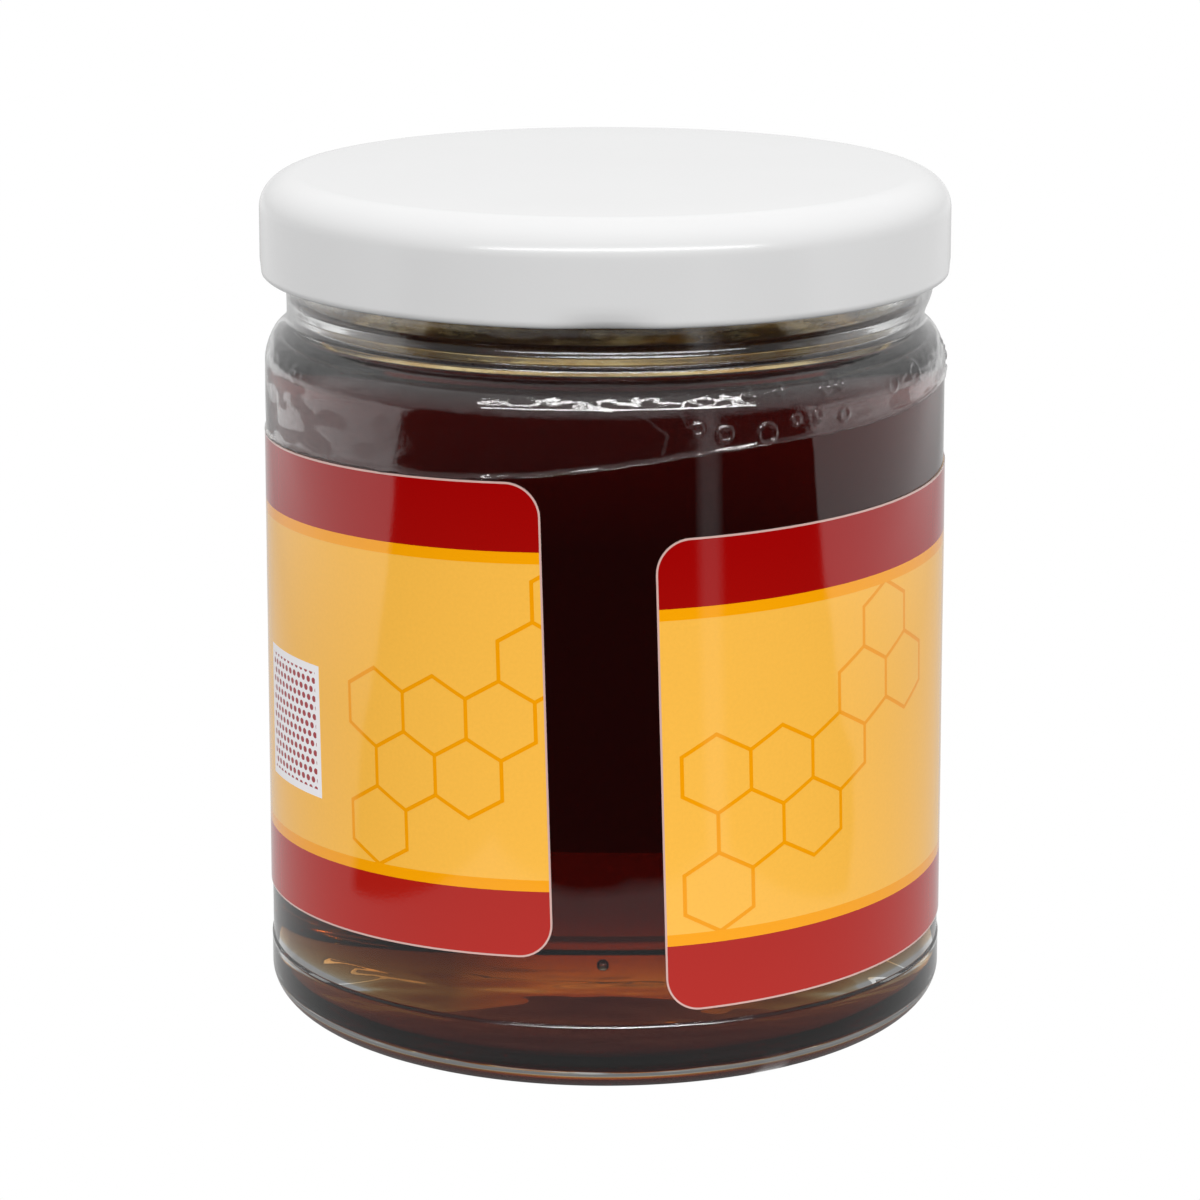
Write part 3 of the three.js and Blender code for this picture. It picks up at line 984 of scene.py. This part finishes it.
def band_edge_z(angle):
    """Height of the band's lower edge, which wanders round the jar."""
    z = BAND_EDGE_Z
    for height, count, crest in BAND_EDGE_WAVES:
        z += height * math.cos(count * (angle - math.radians(crest)))
    return z


def band_radius(z):
    """Radius of the smooth sleeve at a height, eased between the stations of its profile."""
    for (upper_radius, upper_z), (lower_radius, lower_z) in zip(BAND_PROFILE, BAND_PROFILE[1:]):
        if z >= lower_z:
            share = min(1.0, max(0.0, (z - lower_z) / (upper_z - lower_z)))
            return lower_radius + (upper_radius - lower_radius) * share
    return BAND_PROFILE[-1][0]


def eased_band_radius(z):
    """The profile averaged over a short stretch, which rounds its corners."""
    return sum(band_radius(z + EASING_REACH * k / 3) for k in range(-3, 4)) / 7


def bump_at(distance, width):
    """A smooth bump, 1 in its middle and near 0 at twice its width."""
    return math.exp(-((distance / width) ** 2))


print("band drawn in to", min(eased_band_radius(z) for z in range(67, 81)), "mm at the neck")

# %% Band marks
BLISTER_HEIGHT = 0.16
BLISTER_WALL = 0.17
SIDE_BLISTERS = 26
SIDE_PLEATS = 12
# Blisters: angle in degrees, height, radius of the ring
BLISTERS = [
    (14.7, 70.1, 0.55), (19.3, 69.4, 0.75), (26.6, 69.1, 1.0), (31.9, 70.2, 0.45), (36.4, 70.4, 0.5),
    (42.0, 70.1, 0.65), (23.3, 73.4, 0.4), (29.2, 73.4, 0.45), (38.4, 73.1, 0.6), (41.6, 73.2, 0.5),
    (54.5, 72.0, 0.8), (62.3, 72.4, 1.1), (-63.0, 72.2, 0.6),
]
# Pleats: angle and height at the top, angle and height at the foot, width, depth
PLEATS = [
    (-24.5, 71.8, -20.5, 65.4, 0.55, 0.10), (-19.0, 71.6, -18.5, 65.4, 0.5, -0.08),
    (-15.5, 71.4, -17.8, 65.6, 0.45, 0.08), (-13.0, 71.0, -17.0, 66.5, 0.35, 0.06),
    (-8.8, 70.0, -8.8, 65.9, 0.4, 0.05), (5.4, 71.6, 9.5, 69.6, 0.25, 0.08),
    (9.5, 69.6, 8.6, 67.6, 0.25, 0.08), (11.5, 72.0, 13.0, 70.2, 0.25, 0.05),
    (-54.0, 73.0, -58.0, 70.0, 0.25, 0.04), (-50.0, 72.6, -55.0, 69.0, 0.2, 0.03),
]
rng = random.Random(7)
for i in range(SIDE_BLISTERS):
    side_angle = rng.uniform(75.0, 285.0)
    BLISTERS.append((side_angle, rng.uniform(69.5, 73.4), rng.uniform(0.35, 1.0)))
for i in range(SIDE_PLEATS):
    side_angle = rng.uniform(85.0, 285.0)
    lean = rng.uniform(-5.0, 5.0)
    width = rng.uniform(0.3, 0.6)
    PLEATS.append((side_angle, 72.0, side_angle + lean, 67.0, width, rng.uniform(-0.1, 0.1)))


def wrapped(angle):
    """An angle brought between -180 and 180 degrees."""
    return (angle + 180.0) % 360.0 - 180.0


def along_jar(degrees, middle):
    """Distance round the jar from one angle to another, in millimetres."""
    return math.radians(wrapped(degrees - middle)) * BAND_LIES_AT


def blister_height(degrees, z):
    """How far the blisters raise the film: each is a small ring."""
    total = 0.0
    for middle, height, ring in BLISTERS:
        across = along_jar(degrees, middle)
        if abs(across) < 3.0 and abs(z - height) < 3.0:
            distance = math.hypot(across, z - height)
            total += BLISTER_HEIGHT * bump_at(distance - ring, BLISTER_WALL)
    return total


def pleat_height(degrees, z):
    """How far the pleats raise or sink the film: each is a slanting fold."""
    total = 0.0
    for top, top_z, foot, foot_z, width, depth in PLEATS:
        share = (top_z - z) / (top_z - foot_z)
        if -0.2 < share < 1.15:
            middle = top + (foot - top) * share
            across = along_jar(degrees, middle)
            fade = smooth_step(-0.2, 0.15, share) * smooth_step(1.15, 0.85, share)
            total += depth * fade * bump_at(across, width)
    return total


CRUMPLE_BROAD = 0.045
CRUMPLE_FINE = 0.04
CRUMPLE_JAGGED = 0.09
CRUMPLE_BELOW = 0.02
SHOULDER_MIDDLE_Z = 73.2
CREASE_Z = 72.4


def crumple(degrees, z):
    """Fine uneven shrinkage, strongest on the shoulder and along its crease, weak lower down."""
    angle = math.radians(degrees)
    place = Vector((math.sin(angle), math.cos(angle), 0.0)) * BAND_LIES_AT
    broad = noise.noise(Vector((place.x * 0.22, place.y * 0.22, z * 0.5)))
    fine = noise.noise(Vector((place.x * 0.9 + 7, place.y * 0.9, z * 1.6)))
    jagged = noise.noise(Vector((place.x * 0.7, place.y * 0.7 + 3, z * 1.2)))
    on_shoulder = bump_at(z - SHOULDER_MIDDLE_Z, 1.7)
    at_crease = bump_at(z - CREASE_Z, 0.45)
    below = smooth_step(73.0, 71.0, z)
    smooth_part = broad * (CRUMPLE_BROAD * (0.4 + on_shoulder) + CRUMPLE_BELOW * below)
    fine_part = CRUMPLE_FINE * fine * on_shoulder * (1.0 - 0.5 * at_crease)
    return smooth_part + fine_part + CRUMPLE_JAGGED * jagged * at_crease


CROWD_ROUND = 42.0
CROWD_DOWN = 0.11
EDGE_WAVER = 0.12
HEM_FLAT = 0.06
HEM_CURLED = 0.3
HEM_REACH = 0.6
PRESSED_IN = -0.04
LOOSE_Z = 78.6


def crowded_angle(degrees):
    """Moves a column of points towards the front right, where the film has most of its marks."""
    from_middle = wrapped(degrees - BAND_FINE_MIDDLE)
    return BAND_FINE_MIDDLE + from_middle - CROWD_ROUND * math.sin(math.radians(from_middle))


def crowded_share(share):
    """Moves a row of points down, so that rows stand closer together near the lower edge."""
    return share + CROWD_DOWN * math.sin(math.pi * share)


def band_point(degrees, share):
    """A point of the finished sleeve; share runs from 0 at its top edge to 1 at its lower edge."""
    angle = math.radians(degrees)
    edge = band_edge_z(angle) + EDGE_WAVER * noise.noise(Vector((degrees * 0.35, 0.0, 4.0)))
    z = BAND_TOP_Z + (edge - BAND_TOP_Z) * share
    radius = eased_band_radius(z) + BAND_LOOSE * math.sin(angle) * bump_at(z - LOOSE_Z, 1.6)
    free = smooth_step(0.0, 0.12, share)
    marks = blister_height(degrees, z) + pleat_height(degrees, z) + crumple(degrees, z)
    curl = 0.5 + 0.5 * noise.noise(Vector((degrees * 0.12, 2.0, 8.0)))
    hem = (HEM_FLAT + HEM_CURLED * curl * curl) * smooth_step(HEM_REACH, 0.0, z - edge)
    radius += max(PRESSED_IN, marks) * free + hem
    return on_circle(radius, angle, z)


# %% Band piece
def band_outline():
    """A straight sleeve, as it is before it shrinks."""
    heights = [BAND_TOP_Z - BAND_DRAWN_HEIGHT * row / BAND_ROWS for row in range(BAND_ROWS + 1)]
    return [(BAND_LIES_AT, z) for z in heights]


band = spin_outline("band_film", band_outline(), BAND_SIDES, False)
for vertex in band.data.vertices:
    share = (BAND_TOP_Z - vertex.co.z / MM) / BAND_DRAWN_HEIGHT
    degrees = math.degrees(angle_of(vertex.co))
    vertex.co = band_point(crowded_angle(degrees), crowded_share(share))
band.data.update()
bpy.ops.object.mode_set(mode="EDIT")
bpy.ops.mesh.select_all(action="SELECT")
bpy.ops.mesh.normals_make_consistent(inside=False)
bpy.ops.object.mode_set(mode="OBJECT")
outward = sum(face.normal.xy.dot(face.center.xy) > 0 for face in band.data.polygons)
print("band faces turned outward:", outward, "of", len(band.data.polygons))
film_thickness = band.modifiers.new("film_thickness", "SOLIDIFY")
film_thickness.thickness = BAND_THICKNESS * MM
film_thickness.offset = 1.0
bpy.ops.object.modifier_apply(modifier="film_thickness")
bpy.ops.object.shade_smooth()

# %% Band material
film = clear_material("clear_film", (1.0, 1.0, 1.0), 1.38, 0.08)
tree = film.node_tree
ripples = noise_node(tree, object_coordinates(tree), 420.0, 4.0, 0.6)
tree.links.new(bump_node(tree, ripples, 0.25, 0.0002), main_shader(film).inputs["Normal"])
band.data.materials.append(film)
finish_piece(band, "shrink_band")
print("band of film:", len(band.data.polygons), "faces,", BAND_THICKNESS, "mm thick")

# %% [markdown]
# ## Floor, room and light
# The jar stands in a pure white studio. Plain white all round would make glass vanish: what gives it its
# look is what it mirrors and bends. So there is a pale table that ends in front of the jar, a dark
# floor beyond it, a far wall that only light bent by the jar can see, dim at its foot and sides, and one
# long narrow lamp above the camera, which draws thin bright lines on the lid's shoulder and the foot.
# The floor and the room are lit surfaces that the camera sees as plain white. Under the jar, a shadow is
# painted into the floor's light.

# %% Helper: white for the camera alone
def white_to_camera(tree, kind, strength, output_kind):
    """Lights a surface by a strength socket, while the camera sees it plain white."""
    lit = tree.nodes.new(kind)
    tree.links.new(strength, lit.inputs["Strength"])
    white = tree.nodes.new(kind)
    white.inputs["Strength"].default_value = 1.0
    seen = tree.nodes.new("ShaderNodeLightPath")
    mix = tree.nodes.new("ShaderNodeMixShader")
    tree.links.new(seen.outputs["Is Camera Ray"], mix.inputs["Fac"])
    tree.links.new(lit.outputs[0], mix.inputs[1])
    tree.links.new(white.outputs[0], mix.inputs[2])
    output = tree.nodes.new(output_kind)
    tree.links.new(mix.outputs["Shader"], output.inputs["Surface"])


# %% Floor
FLOOR_SIZE = 8.0
TABLE_EDGE_Y = -0.100
TABLE_SIDE_EDGE_Y = -0.012
TABLE_HALF_WIDTH = 0.07
TABLE_SLANT = 0.55
STRIP_FROM = math.radians(28.0)
STRIP_TO = math.radians(37.5)
STRIP_BLUR = 0.05
STRIP_LIGHT = 0.55
TABLE_NEAR = 0.55
TABLE_FAR = 0.6
BEYOND_TABLE = 0.035
PAINTED_SHADOW_UNDER_JAR = 0.12
SHADE_FROM = 0.031
SHADE_TO = 0.042
EDGE_WANDER = 0.02
EDGE_BLUR = 0.003

bpy.ops.object.select_all(action="DESELECT")
bpy.ops.mesh.primitive_plane_add(size=FLOOR_SIZE, location=(0.0, 0.0, -0.0003))
floor = bpy.context.active_object
floor.name = "floor"
floor_material = new_material("white_floor")
tree = floor_material.node_tree
tree.nodes.clear()
parts = split(tree, object_coordinates(tree))
sideways = math_node(tree, "ABSOLUTE", parts["X"])
toward_front = math_node(tree, "MULTIPLY", parts["Y"], -1.0)
near = map_range(tree, toward_front, 0.0, 0.06, TABLE_FAR, TABLE_NEAR)
beside = map_range(tree, sideways, 0.05, 0.25, 0.0, 1.0)
lit = math_node(tree, "MAXIMUM", near, beside)
corner = TABLE_HALF_WIDTH + 0.02
edge = map_range(tree, sideways, TABLE_HALF_WIDTH, corner, -TABLE_EDGE_Y, -TABLE_SIDE_EDGE_Y)
slant = map_range(tree, sideways, 0.15, 1.15, 0.0, TABLE_SLANT)
edge = math_node(tree, "ADD", edge, slant)
wander = noise_node(tree, object_coordinates(tree), 16.0, 2.0)
edge = math_node(tree, "ADD", edge, math_node(tree, "MULTIPLY", wander, EDGE_WANDER))
past_edge = math_node(tree, "SUBTRACT", toward_front, edge)
on_table = map_range(tree, past_edge, -EDGE_BLUR, EDGE_BLUR, 1.0, 0.0)
lit = math_node(tree, "MULTIPLY", lit, on_table)
from_axis = tree.nodes.new("ShaderNodeVectorMath")
from_axis.operation = "LENGTH"
tree.links.new(object_coordinates(tree), from_axis.inputs[0])
# Painted shadow: the floor's light is dimmed under the jar and eases back out just past its foot.
painted_shadow = map_range(tree, from_axis.outputs["Value"], SHADE_FROM, SHADE_TO, PAINTED_SHADOW_UNDER_JAR, 1.0)
lit = math_node(tree, "MULTIPLY", lit, painted_shadow)
bearing = math_node(tree, "ARCTAN2", parts["X"], toward_front)
off_strip = apart(tree, bearing, (STRIP_FROM + STRIP_TO) / 2)
strip_edge = (STRIP_TO - STRIP_FROM) / 2
on_strip = map_range(tree, off_strip, strip_edge - STRIP_BLUR, strip_edge, STRIP_LIGHT, 0.0)
lit = math_node(tree, "ADD", math_node(tree, "MAXIMUM", lit, on_strip), BEYOND_TABLE)
white_to_camera(tree, "ShaderNodeEmission", lit, "ShaderNodeOutputMaterial")
floor.data.materials.append(floor_material)
print("table ends", -1000 * TABLE_EDGE_Y, "mm in front of the jar's axis")

# %% Room
HORIZON_BEHIND = 1.0
HORIZON_IN_FRONT = 0.6
OVERHEAD_BEHIND = 1.55
OVERHEAD_IN_FRONT = 0.85
FAR_WALL_FOOT = 0.2
FAR_WALL_MIDDLE = 1.1
FAR_WALL_SIDES = 0.3

world = bpy.data.worlds.new("studio")
scene.world = world
world.use_nodes = True
tree = world.node_tree
tree.nodes.clear()
parts = split(tree, tree.nodes.new("ShaderNodeTexCoord").outputs["Generated"])
horizon = map_range(tree, parts["Y"], -0.35, 0.35, HORIZON_IN_FRONT, HORIZON_BEHIND)
overhead = map_range(tree, parts["Y"], -0.5, 0.2, OVERHEAD_IN_FRONT, OVERHEAD_BEHIND)
height = map_range(tree, parts["Z"], 0.05, 0.5, 0.0, 1.0)
rise = math_node(tree, "MULTIPLY", height, math_node(tree, "SUBTRACT", overhead, horizon))
room = math_node(tree, "ADD", horizon, rise)
from_middle = math_node(tree, "ABSOLUTE", parts["X"])
far_wall = map_range(tree, from_middle, 0.08, 0.3, FAR_WALL_MIDDLE, FAR_WALL_SIDES)
above_foot = map_range(tree, parts["Z"], 0.1, 0.2, 0.0, 1.0)
above = math_node(tree, "MULTIPLY", above_foot, math_node(tree, "SUBTRACT", far_wall, FAR_WALL_FOOT))
far_wall = math_node(tree, "ADD", FAR_WALL_FOOT, above)
toward_back = map_range(tree, parts["Y"], 0.3, 0.5, 0.0, 1.0)
bent_by_jar = tree.nodes.new("ShaderNodeLightPath").outputs["Is Transmission Ray"]
through_jar = math_node(tree, "MULTIPLY", toward_back, bent_by_jar)
change = math_node(tree, "MULTIPLY", through_jar, math_node(tree, "SUBTRACT", far_wall, room))
room = math_node(tree, "ADD", room, change)
white_to_camera(tree, "ShaderNodeBackground", room, "ShaderNodeOutputWorld")
print("room lit", HORIZON_IN_FRONT, "in front and", HORIZON_BEHIND, "behind, at the horizon")

# %% Long lamp
LAMP_DISTANCE = 0.8
LAMP_ELEVATION = math.radians(28.0)
LAMP_AZIMUTH = math.radians(5.0)
LAMP_LENGTH = 1.5
LAMP_HEIGHT = 0.065
LAMP_POWER = 6.2

aim = Vector((0.0, 0.0, 0.06))
flat_reach = LAMP_DISTANCE * math.cos(LAMP_ELEVATION)
lamp_place = aim + Vector((
    flat_reach * math.sin(LAMP_AZIMUTH),
    -flat_reach * math.cos(LAMP_AZIMUTH),
    LAMP_DISTANCE * math.sin(LAMP_ELEVATION),
))
bpy.ops.object.select_all(action="DESELECT")
bpy.ops.object.light_add(type="AREA", location=lamp_place)
lamp = bpy.context.active_object
lamp.name = "long_lamp"
lamp.rotation_euler = (aim - lamp_place).to_track_quat("-Z", "Y").to_euler()
lamp.data.shape = "RECTANGLE"
lamp.data.size = LAMP_LENGTH
lamp.data.size_y = LAMP_HEIGHT
lamp.data.energy = LAMP_POWER
lamp.visible_camera = False
print("lamp at", tuple(round(v, 3) for v in lamp_place))
